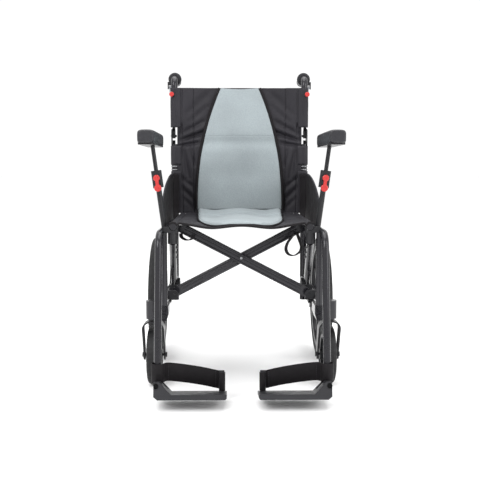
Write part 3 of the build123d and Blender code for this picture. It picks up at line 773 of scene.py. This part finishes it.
def loop_band(name, stops, y, deep, side_body, cad):
    """A narrow flat band that hangs in a loop, its face turned partly to the front."""
    path = smooth_path([(x, y, z) for x, z in stops])
    points = []
    for i, place in enumerate(path):
        before, after = path[max(0, i - 1)], path[min(len(path) - 1, i + 1)]
        run = (after - before).normalized()
        out = Vector((-run.z, 0, run.x)) * 0.0013
        wide = Vector((0.30, 0.40, 0)) * deep
        points += [place - out - wide, place + out - wide, place + out + wide, place - out + wide]
    loop = add_mesh(name, points, ribbon_faces(len(path)), WEBBING, "webbing")
    settle(loop, ("BEVEL", {"width": 0.0004, "segments": 2, "limit_method": "ANGLE"}))
    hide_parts(cad)
    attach(loop, side_body)


def webbing_loops():
    loop_band("pull_loop_left",
              ((-0.172, 0.446), (-0.171, 0.436), (-0.160, 0.428), (-0.148, 0.427), (-0.140, 0.432),
               (-0.139, 0.440)), -0.168, 0.013, "brace_b", "webbing_loop_left")
    loop_band("pull_loop_right",
              ((0.158, 0.446), (0.164, 0.430), (0.171, 0.408), (0.166, 0.392), (0.150, 0.382),
               (0.134, 0.386), (0.127, 0.400), (0.131, 0.417), (0.141, 0.432), (0.150, 0.444)),
              -0.168, 0.013, "brace_a", "webbing_loop_right")


# ==================================== wheels ====================================
def tyre_profile(half, outer, inner, crown=0.010, steps=7):
    """Closed section: square-shouldered tread with a flat foot on the rim."""
    loop = []
    for i in range(steps + 1):
        turn = math.pi / 2 * i / steps
        loop.append((-half + crown * (1 - math.cos(turn)), outer - crown + crown * math.sin(turn)))
    for share in (-0.9, -0.45, 0, 0.45, 0.9):
        loop.append(((half - crown) * share, outer))
    for i in range(steps + 1):
        turn = math.pi / 2 * (1 - i / steps)
        loop.append((half - crown * (1 - math.cos(turn)), outer - crown + crown * math.sin(turn)))
    return loop + [(half * 0.82, inner), (-half * 0.82, inner)]


def tyres():
    """Solid tyres with a moulded tread."""
    for side, _ in SIDES:
        for node, body, half, outer, inner, blocks in (
            (f"rear_tyre_{side}", f"rear_wheel_{side}", 0.0155, 0.1998, 0.1722, 60),
            (f"caster_tyre_{side}", f"caster_wheel_{side}", 0.0175, 0.0849, 0.0592, 36),
        ):
            low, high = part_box(node)
            centre = (low + high) / 2

            def tread(k, x, r, outer=outer, half=half):
                """Cross grooves on the shoulders and a pair of rings round the crown."""
                worn = 0.0
                if r > outer - 0.006 and k % 4 == 3 and abs(x) > half * 0.35:
                    worn = 0.0016
                if r > outer - 0.0005 and abs(abs(x) - half * 0.22) < 0.001:
                    worn = 0.0012
                return worn

            tyre = turned(f"{node}_tread", tyre_profile(half, outer, inner), centre, TYRE, "tyre",
                          blocks * 4, tread)
            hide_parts(node)
            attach(tyre, body)


# ============================== small hard details ==============================
def disc(name, centre, axis, radius, deep, material, slot, body, sides=40, edge=0.0015):
    """A turned cap or rivet with softened edges, on a body."""
    axis = Vector(axis).normalized()
    a = axis.orthogonal().normalized()
    b = axis.cross(a)
    levels = [(0, radius), (deep - edge, radius), (deep - edge * 0.3, radius - edge * 0.3),
              (deep, radius - edge), (deep, radius * 0.45), (deep - edge * 0.6, radius * 0.38)]
    points, faces = [], []
    for along, r in levels:
        for i in range(sides):
            turn = 2 * math.pi * i / sides
            spoke = a * math.cos(turn) + b * math.sin(turn)
            points.append(Vector(centre) + axis * along + spoke * r)
    for k in range(len(levels) - 1):
        for i in range(sides):
            j = (i + 1) % sides
            faces.append((k * sides + i, k * sides + j, (k + 1) * sides + j, (k + 1) * sides + i))
    last = (len(levels) - 1) * sides
    faces += [tuple(range(sides - 1, -1, -1)), tuple(last + i for i in range(sides))]
    piece = add_mesh(name, points, faces, material, slot)
    piece.data.set_sharp_from_angle(angle=math.radians(35))
    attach(piece, body)


def brace_details():
    """Rolled lips along both brace arms, and the bright centre of the crossing bolt."""
    for name, body, foot, head, front in (
        ("a", "brace_a", (-0.195, 0.267), (0.191, 0.468), -0.11935),
        ("b", "brace_b", (0.195, 0.267), (-0.191, 0.468), -0.13415),
    ):
        run = Vector((head[0] - foot[0], 0, head[1] - foot[1]))
        up = Vector((-run.z, 0, run.x)).normalized() * (1 if run.x > 0 else -1)
        ribs = []
        for offset, thick in ((-0.0105, 0.0032), (0.0105, 0.0032), (0.001, 0.0015)):
            a = Vector((foot[0], front, foot[1])) + run * 0.06 + up * offset
            b = Vector((foot[0], front, foot[1])) + run * 0.93 + up * offset
            ribs.append(bar("rib", [a, a.lerp(b, 0.5), b], PAINT, "frame_paint", radius=thick))
        lips = join(f"brace_lips_{name}", ribs)
        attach(lips, body)
    low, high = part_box("brace_bolt")
    disc("brace_bolt_pin", (0, low.y - 0.0003, (low.z + high.z) / 2 - 0.003), (0, -1, 0),
         0.0036, 0.0012, STEEL, "steel", "brace_b", sides=24, edge=0.0004)


def plate_frame(s):
    """A footplate's pivot, with its axes along the leg's slant and square to it."""
    slope = Vector((0, math.cos(LEG_SLANT), -math.sin(LEG_SLANT)))
    normal = Vector((0, math.sin(LEG_SLANT), math.cos(LEG_SLANT)))
    return Vector((s * PLATE_PIVOT[0], PLATE_PIVOT[1], PLATE_PIVOT[2])), slope, normal


def frame_details():
    """Caps and bolts of the side frames, and near-black discs of painted shade at the footplates'
    pin bores.
    """
    for side, s in SIDES:
        body = f"frame_{side}"
        disc(f"rail_disc_{side}", (s * 0.199, 0.012, 0.275), (-s, 0, 0), 0.0175, 0.012, METAL,
             "black_metal", body)
        for i in range(3):
            place = SIDE_STRUT[0].lerp(SIDE_STRUT[1], 0.1 + 0.1 * i)
            disc(f"strut_bolt_{i}_{side}", (s * (place.x - 0.0105), place.y, place.z), (-s, 0, 0),
                 0.0042, 0.003, METAL, "black_metal", body, sides=24, edge=0.0008)
        pivot, slope, _ = plate_frame(s)
        # a near-black disc of painted shade, standing for the shadowed bore at the footplate's
        # pivot
        disc(f"plate_bore_shade_{side}", pivot - slope * 0.0504, -slope, 0.0062, 0.0030, BORE_SHADE,
             "black_plastic", f"footplate_{side}", sides=32, edge=0.0004)


def post_clips():
    """Bright spring clips between the two lower sleeves of each back post."""
    radius = 0.0118
    for side, s in SIDES:
        rings = []
        for z in (0.6265, 0.6375):
            ring = [(s * (POST_X + radius * math.cos(t * math.pi / 20)),
                     POST_Y + radius * math.sin(t * math.pi / 20), z) for t in range(40)]
            rings.append(bar("ring", ring, STEEL, "steel", radius=0.0014, cyclic=True))
        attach(join(f"post_clip_{side}", rings), f"frame_{side}")


def hinge_posts():
    """The dark stud between the lower back post and its hinge, seen in the sleeve's gap."""
    for side, s in SIDES:
        path = [(s * 0.2213, 0.269, z) for z in (0.706, 0.716, 0.7255)]
        stud = bar(f"hinge_stud_{side}", path, METAL, "black_metal", radius=0.0045)
        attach(stud, f"frame_{side}")


def footplate_ribs():
    """Slanted tread ribs on top of each footplate."""
    pitch, sunk = 0.0105, -0.0252
    for side, s in SIDES:
        pivot, slope, normal = plate_frame(s)
        ribs = []
        for n in range(11):
            near, far = 0.046 + n * pitch, 0.066 + n * pitch
            a = pivot + Vector((-s * near, 0, 0)) - slope * 0.040 + normal * sunk
            b = pivot + Vector((-s * far, 0, 0)) + slope * 0.022 + normal * sunk
            path = [a, a.lerp(b, 0.5), b]
            ribs.append(bar(f"rib{n}", path, PLATE, "plate_plastic", radius=0.0014))
        tread = join(f"plate_ribs_{side}", ribs)
        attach(tread, f"footplate_{side}")


# ===================================== build ====================================
look_camera()
studio()
dress_cad()
back_panels()
middle_sheets()
back_pads()
seat_cloth()
seat_pad()
side_guards()
arm_pads()
heel_straps()
webbing_loops()
tyres()
brace_details()
frame_details()
post_clips()
hinge_posts()
footplate_ribs()
